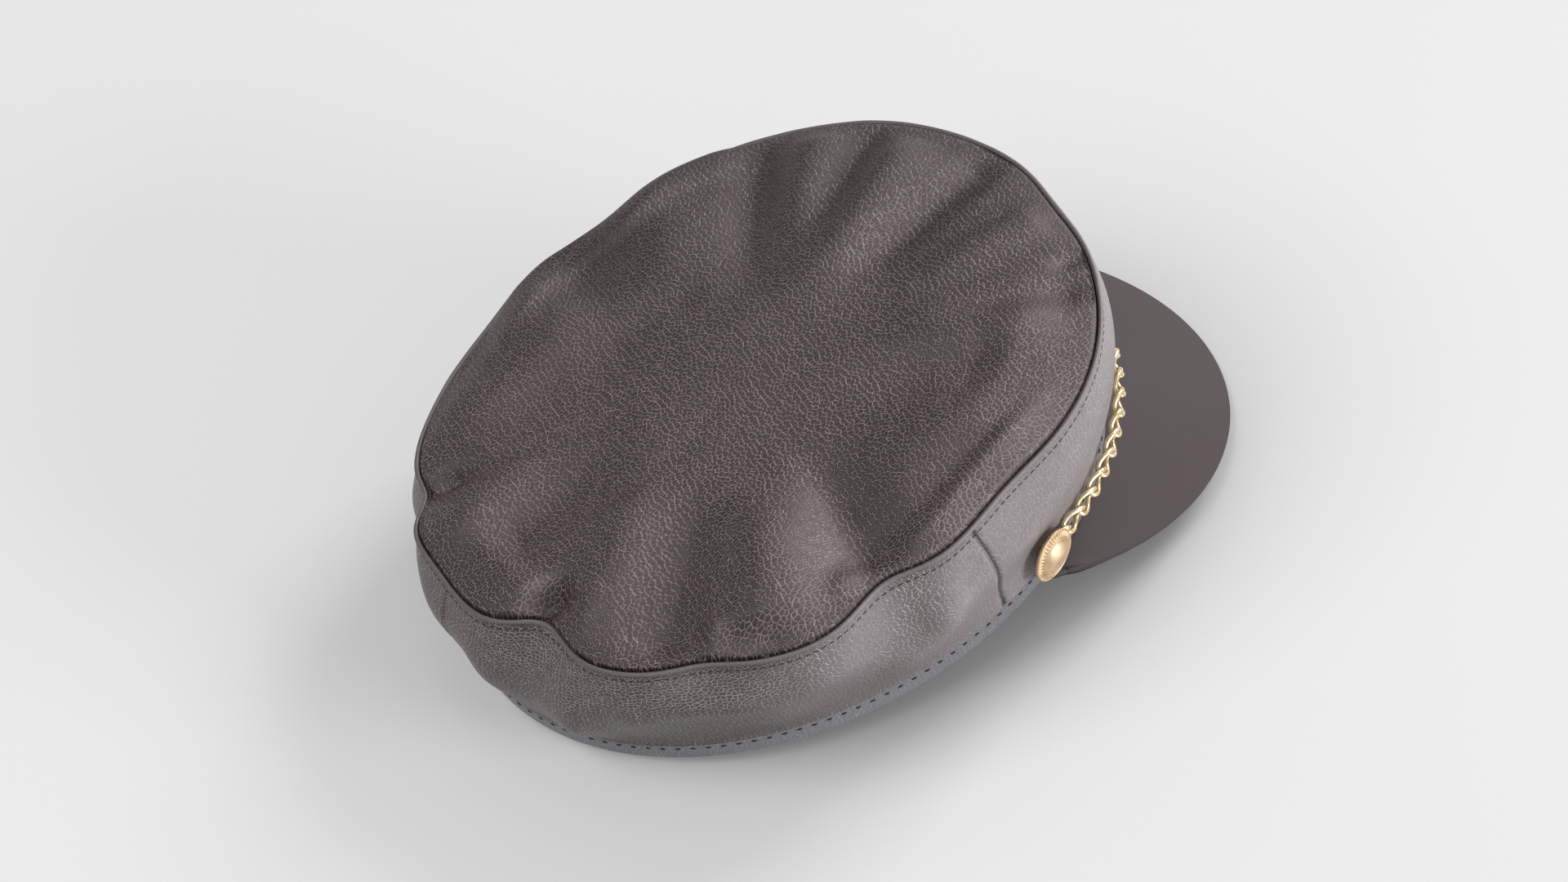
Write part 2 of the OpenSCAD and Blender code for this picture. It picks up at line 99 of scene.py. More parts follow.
# Folds of the side wall: angle, height share, angle half width, height half width, size.
# They only stand outwards, because the lining lies close behind.
WALL_FOLDS = [
    (-149, 0.45, 4.5, 0.45, 1.8), (-137, 0.7, 3, 0.25, 1.0), (-122, 0.74, 8, 0.12, 2.0),
    (-106, 0.8, 5, 0.14, 1.7), (-84, 0.7, 3.5, 0.25, 2.0), (-92, 0.35, 4, 0.2, 1.0),
    (-168, 0.55, 4, 0.35, 1.0), (-115, 0.4, 5, 0.2, 0.7), (110, 0.7, 4, 0.3, 1.2),
    (128, 0.6, 5, 0.3, 1.1), (151, 0.65, 4, 0.3, 1.1), (174, 0.6, 5, 0.3, 0.9),
    (92, 0.5, 6, 0.4, 0.9),
]


# ---- Shape functions, on arrays of angles in degrees ----
def sind(a):
    return np.sin(np.radians(a))


def cosd(a):
    return np.cos(np.radians(a))


def wrap(a):
    return a - 360 * np.round(np.asarray(a) / 360)


def bump(a, centre, spread):
    return np.exp(-((wrap(a - centre) / spread) ** 2) / 2)


def unit(v):
    return v / np.linalg.norm(v, axis=-1, keepdims=True)


def smooth(x, low, high):
    x = np.clip((x - low) / (high - low), 0, 1)
    return x * x * (3 - 2 * x)


def mix(a, b, t):
    return a + (b - a) * t


def flat(x, y, z=0.0):
    return np.stack(np.broadcast_arrays(x, y, z), -1).astype(float)


def outward(a):
    return unit(flat(sind(a) / HALF_W, -cosd(a) / HALF_L))


def rim(a, z=0.0):
    return flat(HALF_W * sind(a), -HALF_L * cosd(a), z)


def seam(a, z=0.0):
    return flat(CROWN_W * sind(a), -CROWN_AHEAD - CROWN_L * cosd(a), z)


def seam_height(a):
    return mix(BACK_H, FRONT_H, (1 + cosd(a)) / 2)


def pucker(a):
    return sum(depth * bump(a, at, spread) for at, depth, spread in PUCKERS)


def ripple(a, seed, size):
    """Small unevenness around the head that repeats after a full turn."""
    return size * sum(
        sind(n * a + seed * (n + 40)) / k for k, n in enumerate((9, 16, 23, 37, 53), 2)
    )


def drawn_in(a, z):
    near = bump(a, BUTTON_ANGLE, 9) + bump(a, -BUTTON_ANGLE, 9)
    return 0.85 * np.exp(-(((z - BUTTON_H) / 9) ** 2) / 2) * near


def wall_folds(a, s):
    folds = sum(
        size * bump(a, at, da) * np.exp(-(((s - level) / ds) ** 2) / 2)
        for at, level, da, ds, size in WALL_FOLDS
    )
    behind = smooth(np.abs(wrap(a)), 76, 90)
    fine = 0.22 * bump(a, -148, 7) * (1 + sind(a * 60 + 40 * sind(s * 200)))
    return (2.6 * folds + fine) * behind * np.sin(np.pi * np.clip(s, 0, 1) ** 0.8)


def wall(a, s, depth):
    """Point of the side wall: s runs from the band (0) to the crown seam (1)."""
    z = mix(BAND_H, seam_height(a) - WALL_DROP, s)
    slack = 1 - drawn_in(a, z)
    bulge = WALL_BULGE * sind(180 * np.clip(s, 0, 1) ** 1.3) * slack
    off = bulge - pucker(a) * np.maximum(s, 0) ** 2.2 - depth + wall_folds(a, s)
    lean = (seam(a) - rim(a)) * (s * slack)[..., None]
    return rim(a, z) + lean + outward(a) * np.expand_dims(off, -1)


def crown_folds(a, r):
    size = 0.5 * (CROWN_W + CROWN_L)
    rise = 0
    for at, start, end, width, height in CROWN_FOLDS:
        across = np.radians(wrap(a - at)) * r * size
        swells = smooth(r, start, mix(start, end, 0.6))
        fades = 1 - smooth(r, mix(start, end, 0.85), end + 0.04)
        rise = rise + height * np.exp(-((across / width) ** 2) / 2) * (swells * fades)
    x, y = r * sind(a), r * cosd(a)
    swell = 0.5 * np.sin(5.1 * x + 1.7 * y + 0.6) * np.cos(4.3 * y - 1.2 * x)
    return FOLD_SCALE * (rise + swell * (1 - r**4))


def overhang(a):
    """Where the full leather swells over its own seam, on the left."""
    return smooth(wrap(a), 55, 72) * (1 - smooth(wrap(a), 112, 130))


def crown(a, r, drop):
    """Point of the crown's top: r runs from the centre (0) to the edge (1)."""
    edge = seam(a) - outward(a) * (pucker(a) + CROWN_INSET)[..., None]
    p = mix(np.array([0, -CROWN_AHEAD, 0]), edge, r[..., None])
    rise = TOP_RISE * (1 - r**5)
    fold = np.maximum(0, pucker(a)) * 0.45 * r**3 * (1 - r**8)
    swell = overhang(a)
    push = 3.4 * swell * np.exp(-(((r - 0.955) / 0.035) ** 2))
    lift = 2.6 * swell * np.exp(-(((r - 0.92) / 0.06) ** 2))
    p = p + outward(a) * push[..., None]
    p[..., 2] = mix(seam_height(90), seam_height(a), r) + rise - fold + lift - drop
    p[..., 2] += crown_folds(a, r) * (1 - 0.6 * smooth(r, 0.9, 1))
    return p


def on_seam(a, out, down):
    """Point near the crown seam: outwards from it, and down from its height."""
    return seam(a, seam_height(a) - down) + outward(a) * (out - pucker(a))[..., None]


def visor_root(t):
    return rim(t * BUTTON_ANGLE / 90)


def visor_edge(t):
    fall = np.maximum(0, cosd(t)) ** 0.83
    return flat(VISOR_W * sind(t), VISOR_Y - VISOR_L * cosd(t), -VISOR_DROP * fall)


def visor(t, v, depth):
    """Point of the visor: t across it (-90 to 90), v from its root (0) to its edge (1)."""
    root, edge = visor_root(t), visor_edge(t)
    run = unit(edge - root)
    ahead = unit((edge - root) * [1, 1, 0])
    slope = -run[..., 2:]
    up = ahead * slope
    up[..., 2:] = np.sqrt(1 - slope**2)
    back = outward(t * BUTTON_ANGLE / 90) * BAND_DEPTH
    lean = up + [0, 0, 1]
    under = root - lean / (1 + up[..., 2:]) * depth
    over = mix(root, edge, v) + up * (1.5 * sind(180 * v) * cosd(t)[..., None] - depth)
    tucked = root - back * np.clip(-v, 0, 1) - flat(0, 0, 1) * depth
    return np.where(v < 0, tucked, mix(under, over, smooth(v, 0, 0.02)))


def visor_rim(t, depth, inset):
    start, end = visor(t, np.array([0.75]), depth), visor(t, np.array([1.0]), depth)
    return mix(end, start, inset / np.linalg.norm(end - start, axis=-1, keepdims=True))


# ---- Meshes ----
def quads(rows, columns, wrap_rows=False, wrap_columns=False):
    i = np.arange(rows if wrap_rows else rows - 1)[:, None]
    j = np.arange(columns if wrap_columns else columns - 1)[None, :]
    i2, j2 = (i + 1) % rows, (j + 1) % columns
    corners = (i * columns + j, i * columns + j2, i2 * columns + j2, i2 * columns + j)
    return np.stack([np.broadcast_to(c, (i.size, j.size)) for c in corners], -1).reshape(-1, 4)


def volume(points, faces):
    a, b, c, d = (points[faces[:, k]] for k in range(4))
    first = np.einsum("ij,ij->i", a, np.cross(b, c))
    second = np.einsum("ij,ij->i", a, np.cross(c, d))
    return (first.sum() + second.sum()) / 6


def piece(name, shape, material, body, *replaced, crease=60):
    """A closed piece from points, faces and flat coordinates, riding on a body."""
    points, faces, uv = shape
    points = laid(points)
    if volume(points, faces) < 0:
        faces = faces[:, ::-1]
    mesh = bpy.data.meshes.new(name)
    mesh.from_pydata(points.tolist(), [], [list(dict.fromkeys(f)) for f in faces.tolist()])
    mesh.polygons.foreach_set("use_smooth", [True] * len(mesh.polygons))
    mesh.set_sharp_from_angle(angle=np.radians(crease))
    spread = uv[faces]
    girth = uv[:, 0].max() - uv[:, 0].min()
    # A face that closes a tube takes its flat coordinates from one side of the join
    spread[..., 0] += girth * (spread[..., :1].max(1) - spread[..., 0] > girth / 2)
    kept = [[f.index(x) for x in dict.fromkeys(f)] for f in faces.tolist()]
    corners = np.concatenate([row[pick] for row, pick in zip(spread, kept)])
    mesh.uv_layers.new(name="cut").data.foreach_set("uv", (MM * corners).ravel())
    mesh.materials.append(material)
    thing = bpy.data.objects.new(name, mesh)
    bpy.context.scene.collection.objects.link(thing)
    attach(thing, body)
    if replaced:
        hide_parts(*replaced)
    return thing


def ring(sections, closed=True):
    """Shape of a closed tube or shell through sections (rows, columns, 3)."""
    rows, columns = sections.shape[:2]
    along = np.linalg.norm(np.diff(sections, axis=0), axis=-1).mean(1).cumsum()
    across = np.linalg.norm(np.diff(sections, axis=1), axis=-1).mean(0).cumsum()
    uv = np.stack(np.meshgrid(np.append(0, along), np.append(0, across), indexing="ij"), -1)
    faces = [quads(rows, columns, closed, True)]
    if not closed:
        half = columns // 2
        for start in (0, (rows - 1) * columns):
            near = start + np.arange(half - 1)
            far = start + columns - 1 - np.arange(half - 1)
            cap = np.stack([near, far, far - 1, near + 1], -1)
            faces.append(cap if start == 0 else cap[:, ::-1])
    return sections.reshape(-1, 3), np.concatenate(faces), uv.reshape(-1, 2)


def join(parts):
    """Several shapes as one."""
    starts = np.cumsum([0] + [len(points) for points, _, _ in parts])
    return (
        np.concatenate([points for points, _, _ in parts]),
        np.concatenate([faces + start for (_, faces, _), start in zip(parts, starts)]),
        np.concatenate([uv for _, _, uv in parts]),
    )


def disc_layer(top, bottom, edge_top, edge_bottom, size=201):
    """A layer of the crown on an even grid, with rows of extra points past its edge."""
    side = np.linspace(-1, 1, size)
    u, w = np.meshgrid(side, side, indexing="ij")
    r = np.maximum(np.abs(u), np.abs(w))
    across = np.abs(u) >= np.abs(w)
    safe = np.where(r == 0, 1, np.where(across, u, w))
    turn = np.where(across, 45 * w / safe, 90 - 45 * u / safe)
    a = wrap(turn + np.where(np.where(across, u, w) < 0, 180, 0))
    index = np.arange(size * size).reshape(size, size)
    border = np.concatenate([index[0, :-1], index[:-1, -1], index[-1, :0:-1], index[:0:-1, 0]])
    edge_a, n, m = a.reshape(-1)[border], size * size, len(border)
    rows = [on_seam(edge_a, out, down) for out, down in edge_top]
    rows += [on_seam(edge_a, out, down) for out, down in edge_bottom[::-1]]
    layers = [crown(a, r, depth).reshape(-1, 3) for depth in (top, bottom)]
    points = np.concatenate([*layers, *rows])
    loops = [border] + [2 * n + k * m + np.arange(m) for k in range(len(rows))] + [n + border]
    faces = [quads(size, size), quads(size, size)[:, ::-1] + n]
    for one, two in zip(loops, loops[1:]):
        faces.append(np.stack([one, np.roll(one, -1), np.roll(two, -1), two], -1)[:, ::-1])
    return points, np.concatenate(faces), points[:, 1::-1]


def wall_sheet(columns, span, low, high, steps, near, far, edges=0.0):
    """A layer of the wall between two columns' angles, which change with height."""
    s = np.broadcast_to(steps, (len(columns), len(steps)))
    a = mix(low(s, columns), high(s, columns), columns[:, None])
    from_seam = np.minimum(columns, columns[::-1])[:, None] * span
    dip = edges * np.exp(-((from_seam / 0.7) ** 2))
    outer = wall(a, s, near + dip + 0 * s)
    inner = wall(a, s, far + 0 * s)[:, ::-1]
    return ring(np.concatenate([outer, inner], 1), closed=False)


def rim_tube(a, profile):
    """A ring on the band's outline from [depth, height] pairs."""
    depth, height = np.array(profile).T
    a2 = a[:, None] + 0 * depth
    return ring(rim(a2, height) - outward(a2) * depth[..., None])


# Share of a stitch's length from its middle, and its thickness there
STITCH_SHAPE = [(-0.5, 0.35), (-0.46, 0.8), (-0.3, 1), (0.3, 1), (0.46, 0.8), (0.5, 0.35)]


def rods(starts, ends, lift, radius):
    """Short rounded rods, such as stitches, between pairs of points."""
    parts = []
    turn = np.arange(8) * 45
    for start, end, up in zip(starts, ends, lift):
        run, side = unit(end - start), unit(np.cross(end - start, up))
        top = np.cross(side, run)
        middle, length = (start + end) / 2, np.linalg.norm(end - start)
        spokes = radius * (cosd(turn)[:, None] * side + 0.7 * sind(turn)[:, None] * top)
        rows = np.stack([middle + at * length * run + size * spokes for at, size in STITCH_SHAPE])
        parts.append(ring(rows, closed=False))
    return join(parts)


# ---- Materials ----
class Nodes:
    """Short way to build a node material."""

    def __init__(self, name):
        self.material = bpy.data.materials.new(name)
        self.material["slot"] = name
        self.material.use_nodes = True
        self.tree = self.material.node_tree
        self.shader = self.tree.nodes["Principled BSDF"]
        self.place = self.add("TexCoord").outputs["Object"]

    def add(self, kind, inputs=None, **settings):
        node = self.tree.nodes.new("ShaderNode" + kind)
        for key, value in settings.items():
            setattr(node, key, value)
        for key, value in (inputs or {}).items():
            self.put(node.inputs[key], value)
        return node

    def put(self, socket, value):
        if isinstance(value, bpy.types.NodeSocket):
            self.tree.links.new(value, socket)
        else:
            socket.default_value = value

    def math(self, operation, *values):
        node = self.add("Math", operation=operation)
        for socket, value in zip(node.inputs, values):
            self.put(socket, value)
        return node.outputs[0]

    def noise(self, per_metre, detail=2.0, rough=0.5):
        settings = {"Vector": self.place, "Scale": per_metre, "Detail": detail, "Roughness": rough}
        return self.add("TexNoise", settings).outputs["Fac"]

    def ranged(self, value, low, high, start=0.0, end=1.0):
        keys = {"Value": value, "From Min": low, "From Max": high, "To Min": start, "To Max": end}
        return self.add("MapRange", keys).outputs[0]

    def blend(self, factor, a, b, mode="MIX"):
        node = self.add("Mix", data_type="RGBA", blend_type=mode)
        self.put(node.inputs[0], factor)
        for socket, value in ((node.inputs[6], a), (node.inputs[7], b)):
            self.put(socket, value if isinstance(value, bpy.types.NodeSocket) else (*value, 1))
        return node.outputs[2]

    def finish(self, color, roughness, height=None, strength=0.5, distance=0.0003, **sockets):
        self.put(self.shader.inputs["Base Color"], color)
        self.put(self.shader.inputs["Roughness"], roughness)
        if height is not None:
            keys = {"Height": height, "Strength": strength, "Distance": distance}
            self.put(self.shader.inputs["Normal"], self.add("Bump", keys).outputs[0])
        for key, value in sockets.items():
            self.shader.inputs[key.replace("_", " ")].default_value = value
        return self.material


# Painted sheen: the leather's colour is made paler where it faces this way, forwards on the right,
# standing in for light from that side
SHEEN_FACING = unit(laid((-0.55, -0.8, 0.2)) - laid((0, 0, 0)))


def leather(
    name, cell, dark, light, crack_and_glint, crack_and_glint_share, roughness, relief, painted_sheen=None, far=0.0
):
    """Pebbled leather: raised cells with paler lines between them, the lines partly grain and
    partly painted glint, slow tone changes, and a painted sheen where one is given.
    """
    n = Nodes(name)
    cut = n.add("UVMap").outputs[0]
    keys = {"Vector": cut, "Scale": 0.45 / cell, "Detail": 1.0}
    wobble = n.add("TexNoise", keys).outputs["Color"]
    shift = n.add("VectorMath", {0: wobble, 1: (cell * 0.6,) * 3}, operation="MULTIPLY").outputs[0]
    moved = n.add("VectorMath", {0: cut, 1: shift}, operation="ADD").outputs[0]
    grain = n.add("Mapping", {"Vector": moved, "Scale": (0.75 / cell, 1.25 / cell, 1)}).outputs[0]
    pattern = {"Vector": grain, "Scale": 1.0, "Randomness": 0.9}
    edges = n.add(
        "TexVoronoi", pattern, voronoi_dimensions="2D", feature="DISTANCE_TO_EDGE"
    )
    edge = edges.outputs["Distance"]
    cells = n.add("TexVoronoi", pattern, voronoi_dimensions="2D").outputs["Color"]
    tone = n.noise(16, 2.0)
    speck = n.noise(0.7 / cell, 2.0)
    line = n.ranged(edge, 0.01, 0.1, 1.0, 0.0)
    strong = n.ranged(speck, 0.38, 0.62, 0.5, 1.0)
    if far:
        # The pale lines, partly painted glint, are fainter towards the front left of the crown
        along = n.add("SeparateXYZ", {0: n.place}).outputs
        ahead = n.math("SUBTRACT", along[0], n.math("MULTIPLY", along[1], 0.8))
        strong = n.math("MULTIPLY", strong, n.ranged(ahead, -0.03, 0.07, 1.0, 1 - far))
    share = n.math("MULTIPLY", n.math("MULTIPLY", line, strong), crack_and_glint_share)
    base = n.blend(n.ranged(tone, 0.3, 0.7), dark, light)
    # Painted sheen: where the surface faces the direction above, its colour is blended towards the
    # paler colour given, standing in for light from that side
    if painted_sheen:
        normal = n.add("NewGeometry").outputs["Normal"]
        facing = n.add("VectorMath", {0: normal, 1: SHEEN_FACING}, operation="DOT_PRODUCT")
        base = n.blend(n.ranged(facing.outputs["Value"], 0.05, 0.85), base, painted_sheen)
    varied = n.blend(n.math("MULTIPLY", cells, 0.2), base, dark)
    # The pale lines' colour is partly the grain's own and partly painted glint, where the pebble
    # edges catch the light
    color = n.blend(share, varied, crack_and_glint)
    fine = n.noise(2.2 / cell, 3.0)
    height = n.math("ADD", n.ranged(edge, 0.0, 0.25), n.math("MULTIPLY", fine, 0.4))
    rough = n.ranged(tone, 0.3, 0.7, roughness - 0.03, roughness + 0.03)
    return n.finish(color, rough, height, relief, cell * 0.16)


def cloth(name, dark, light, per_metre=1300, roughness=0.85):
    n = Nodes(name)
    keys = {"Vector": n.place, "Scale": per_metre / 20}
    wave = n.add("TexWave", {**keys, "Distortion": 0.3}).outputs["Fac"]
    other = n.add("TexWave", keys, bands_direction="Z").outputs["Fac"]
    weave = n.math("MULTIPLY", wave, other)
    color = n.blend(n.math("MULTIPLY", n.math("ADD", weave, n.noise(300, 3.0)), 0.5), dark, light)
    return n.finish(color, roughness, weave, 0.3, 0.0002)


def metal(name, dark, light, roughness, per_metre=260):
    n = Nodes(name)
    tone = n.noise(per_metre, 3.0)
    color = n.blend(n.ranged(tone, 0.35, 0.65), dark, light)
    rough = n.ranged(n.noise(per_metre * 2), 0.3, 0.7, roughness - 0.05, roughness + 0.08)
    return n.finish(color, rough, n.noise(per_metre * 8), 0.08, 0.0001, Metallic=1.0)


# Where a leather below is given a last colour, that is a painted sheen laid on where the surface
# faces forwards on the right
CROWN_LEATHER = leather(
    "crown_leather", 0.0013, (0.014, 0.0075, 0.007), (0.024, 0.0155, 0.015),
    (0.5, 0.38, 0.34), 0.55, 0.44, 1.0,
    painted_sheen=(0.13, 0.105, 0.106), far=0.45,
)
# The panel leather is given paler colours than the crown leather: painted light, for the side wall
# being lit more strongly than the top
PANEL_LEATHER = leather(
    "panel_leather", 0.0012, (0.04, 0.026, 0.022), (0.065, 0.046, 0.042),
    (0.7, 0.64, 0.62), 0.5, 0.34, 1.0,
    painted_sheen=(0.27, 0.235, 0.245),
)
ROLL_LEATHER = leather(
    "roll_leather", 0.0009, (0.06, 0.046, 0.044), (0.09, 0.072, 0.07),
    (0.3, 0.26, 0.25), 0.4, 0.4, 0.5,
    painted_sheen=(0.25, 0.22, 0.22),
)
BAND_LEATHER_M = leather(
    "band_leather", 0.0012, (0.13, 0.13, 0.14), (0.2, 0.2, 0.21),
    (0.45, 0.45, 0.46), 0.6, 0.5, 0.8,
)
VISOR_TOP_M = leather(
    "visor_leather", 0.0006, (0.044, 0.03, 0.03), (0.053, 0.038, 0.038),
    (0.08, 0.065, 0.063), 0.3, 0.66, 0.3,
)
VISOR_UNDER_M = leather(
    "visor_under_leather", 0.0007, (0.03, 0.024, 0.023), (0.045, 0.037, 0.035),
    (0.06, 0.05, 0.05), 0.3, 0.5, 0.2,
)
SWEAT_LEATHER = leather(
    "sweatband_leather", 0.0007, (0.05, 0.032, 0.024), (0.075, 0.05, 0.037),
    (0.1, 0.07, 0.055), 0.4, 0.45, 0.2,
)
LINING_M = cloth("lining", (0.012, 0.011, 0.012), (0.035, 0.032, 0.033), roughness=0.6)
FOAM_M = cloth("foam", (0.2, 0.19, 0.18), (0.34, 0.33, 0.31), 700)
TAPE_M = cloth("tape", (0.03, 0.022, 0.018), (0.07, 0.055, 0.045), 1800)
THREAD_M = cloth("thread", (0.01, 0.009, 0.009), (0.03, 0.026, 0.026), 3000)
BOARD_M = cloth("board", (0.07, 0.06, 0.05), (0.13, 0.12, 0.1), 500)
CHAIN_M = metal("gold_chain", (0.86, 0.66, 0.36), (0.97, 0.82, 0.56), 0.27)
BUTTON_M = metal("gold_button", (0.6, 0.43, 0.26), (0.78, 0.6, 0.4), 0.5)
STEEL_M = metal("steel", (0.4, 0.4, 0.4), (0.55, 0.55, 0.56), 0.35)

for node, material in {
    "front_stiffener": BOARD_M, "band_stiffener": BOARD_M, "visor_board": BOARD_M,
    "button_base_right": BUTTON_M, "button_base_left": BUTTON_M,
    "button_washer_right": STEEL_M, "button_washer_left": STEEL_M,
    "button_retainer_right": STEEL_M, "button_retainer_left": STEEL_M,
}.items():
    for used in frame["nodes"][node].material_slots:
        used.material = material

# ---- Crown ----
# The leather's edge turns down beside the roll, which leaves a dark groove
TURN_DOWN = [(-1.58, 0.15), (-1.46, 0.5), (-1.4, 1.1), (-1.3, 1.9), (-1.2, 2.5)]
TURN_BACK = [(-2.3, 1.2), (-2.2, 1.8), (-2.2, 2.5)]
crown_top = piece(
    "crown_top_leather", disc_layer(0, LEATHER, TURN_DOWN, TURN_BACK),
    CROWN_LEATHER, "cap", "crown_top",
)
below = LEATHER + INTERLINING_T
piece(
    "crown_interlining_felt", disc_layer(LEATHER + LAYER_GAP, below, [], [], 121),
    FOAM_M, "cap", "crown_interlining",
)
top_lining = piece(
    "crown_lining_cloth", disc_layer(below + LAYER_GAP, below + LINING_T, [], [], 121),
    LINING_M, "cap", "crown_top_lining",
)

# ---- Side wall ----
ROWS = np.concatenate([[-0.02], np.linspace(0, 1, 60), [1.02]])
EDGE_DIP = 0.9


def columns_for(span):
    """Columns a millimetre apart over a panel's span, closer at its two seams."""
    close = np.array([0, 0.2, 0.4, 0.7, 1.1, 1.6]) / span
    even = np.linspace(2.2, span - 2.2, round(span)) / span
    return np.concatenate([close, even, 1 - close[::-1]])


FRONT_SPAN, SIDE_SPAN = 262, 178
FRONT_COLUMNS, SIDE_COLUMNS = columns_for(FRONT_SPAN), columns_for(SIDE_SPAN)


def panel_seam(s):
    return mix(SEAM_LOW, SEAM_HIGH, s)


def panel(name, columns, span, low, high, replaced):
    """A leather panel between two seams, whose angles change with height."""
    shape = wall_sheet(columns, span, low, high, ROWS, 0, LEATHER, edges=EDGE_DIP)
    return piece(name, shape, PANEL_LEATHER, "cap", replaced)


def right_seam(s, columns):
    return -panel_seam(s)


def left_seam(s, columns):
    return panel_seam(s)


front = panel(
    "front_panel_leather", FRONT_COLUMNS, FRONT_SPAN, right_seam, left_seam, "front_panel"
)
left = panel(
    "side_panel_left_leather", SIDE_COLUMNS, SIDE_SPAN,
    left_seam, lambda s, columns: 180 + 0 * s, "side_panel_left",
)
right = panel(
    "side_panel_right_leather", SIDE_COLUMNS, SIDE_SPAN,
    lambda s, columns: -180 + 0 * s, right_seam, "side_panel_right",
)
AROUND = np.linspace(-180, 180, 721)[:-1]
steps = np.linspace(0.0, 0.94, 30)
lining_a, lining_s = AROUND[:, None] + 0 * steps, steps + 0 * AROUND[:, None]
side_lining = piece(
    "side_lining_cloth",
    ring(np.concatenate([
        wall(lining_a, lining_s, LINING_IN + 0 * steps),
        wall(lining_a, lining_s, LINING_IN + LINING_T + 0 * steps)[:, ::-1],
    ], 1)),
    LINING_M, "cap", "side_lining",
)

# ---- Roll at the crown seam, and the stitches under it ----
turns = np.arange(16) * 22.5
a = AROUND[:, None] + 0 * turns
# Drawn thinner than the CAD's roll, 1.5 mm across
ROLL_SHARE = 0.64
puff = ROLL_SHARE * ROLL_R * (1 + ripple(a, 3, 0.1))
piece(
    "crown_seam_roll_leather",
    ring(on_seam(a, puff * cosd(turns) - 0.1, 0.2 + ROLL_R - puff * sind(turns))),
    ROLL_LEATHER, "cap", "crown_seam_roll",
)


def around(path, pitch, length):
    """Starts and ends of stitches at an even pitch along a closed path of an angle."""
    a = np.linspace(-180, 180, 7201)
    p = path(a)
    run = np.concatenate([[0], np.cumsum(np.linalg.norm(np.diff(p, axis=0), axis=1))])
    count = round(run[-1] / pitch)
    at = np.arange(count) * run[-1] / count
    start, end = np.interp(at, run, a), np.interp(at + length, run, a)
    return path(start), path(end), outward(start)


def topstitch_path(a):
    return wall(a, TOPSTITCH_LEVEL + 0 * a, 0.02 + 0 * a)


TOPSTITCH_LEVEL, TOPSTITCH_PITCH, TOPSTITCH_LENGTH, TOPSTITCH_R = 0.968, 2.6, 1.7, 0.2
piece(
    "crown_topstitching_thread",
    rods(*around(topstitch_path, TOPSTITCH_PITCH, TOPSTITCH_LENGTH), TOPSTITCH_R),
    THREAD_M, "cap", "crown_topstitching",
)

# ---- Band ----
BAND_PROFILE = [
    (0.35, 0.05), (0.1, 0.3), (0, 0.8), (0.02, 2.5), (0.05, 4.3), (0.16, 5.0), (0.05, 5.7),
    (0.0, 6.4), (0.12, 6.85), (0.45, 7.0), (BAND_LEATHER, 7.0), (BAND_LEATHER, BAND_LEATHER),
    (BAND_DEPTH - BAND_LEATHER, BAND_LEATHER), (BAND_DEPTH - BAND_LEATHER, 7.0),
    (BAND_DEPTH - 0.2, 7.0), (BAND_DEPTH, 6.8), (BAND_DEPTH, 0.3), (BAND_DEPTH - 0.3, 0.0),
    (0.8, 0.0),
]
piece("band_leather_strip", rim_tube(AROUND, BAND_PROFILE), BAND_LEATHER_M, "cap", "band")
STITCH_H, STITCH_PITCH, STITCH_LENGTH, STITCH_R = 5.0, 4.6, 1.5, 0.3
piece(
    "band_stitching_thread",
    rods(*around(lambda a: rim(a, STITCH_H), STITCH_PITCH, STITCH_LENGTH), STITCH_R),
    THREAD_M, "cap", "band_stitching",
)

# ---- Sweatband ----
NEAR = BAND_DEPTH + 0.05
FAR = NEAR + 2
SWEAT_PROFILE = [
    (NEAR, 0.8), (NEAR, 2.5), (NEAR, 4.3), (NEAR + 0.6, 5.6), (FAR - 0.4, 7.6), (FAR, 8.8),
    (FAR, 16), (FAR, 24), (FAR, 31.6), (FAR + 0.3, 32), (FAR + 0.7, 32), (FAR + 1, 31.6),
    (FAR + 1, 24), (FAR + 1, 16), (FAR + 1, 8.4), (FAR + 0.6, 7.2), (NEAR + 1.5, 5.2),
    (NEAR + 1, 4), (NEAR + 1, 2.5), (NEAR + 0.9, 0.8), (NEAR + 0.5, 0.6),
]
sweatband = piece(
    "sweatband_leather_strip", rim_tube(AROUND, SWEAT_PROFILE), SWEAT_LEATHER, "cap", "sweatband"
)
tape_a = np.linspace(-184, -176, 25)[:, None]
tape_depth = np.array([FAR + 1.2] * 8 + [FAR + 1.55] * 8)
tape_z = np.concatenate([np.linspace(9, 31.4, 8), np.linspace(31.4, 9, 8)])
piece(
    "sweatband_joint_tape_strip",
    ring(rim(tape_a, tape_z) - outward(tape_a) * tape_depth[:, None], closed=False),
    TAPE_M, "cap", "sweatband_joint_tape",
)

# ---- Visor ----
T = np.linspace(-90, 90, 241)[:, None]
V = np.concatenate([np.linspace(-1, 0, 4)[:-1], np.linspace(0, 0.96, 40)])
LIP = VISOR_LEATHER + BOARD_T - 0.05
ROUND_TOP = [
    (0.02, 1.3), (0.14, 0.7), (0.4, 0.25), (0.9, 0.0), (1.7, 0.0), (2.35, 0.1),
    (LIP, 0.45), (LIP, 0.95),
]


def visor_layer(top, bottom, rims):
    """A layer of the visor; rims are [depth, inset] pairs around its edge."""
    rows = [visor(T, v, top) for v in V] + [visor_rim(T, d, inset) for d, inset in rims]
    rows += [visor(T, v, bottom) for v in V[::-1]]
    if len(rows) % 2:
        middle = len(rows) // 2
        rows.insert(middle, (rows[middle - 1] + rows[middle]) / 2)
    points, faces, _ = ring(np.concatenate(rows, 1), closed=False)
    return points, faces, points[:, :2] * [1, 1.2]


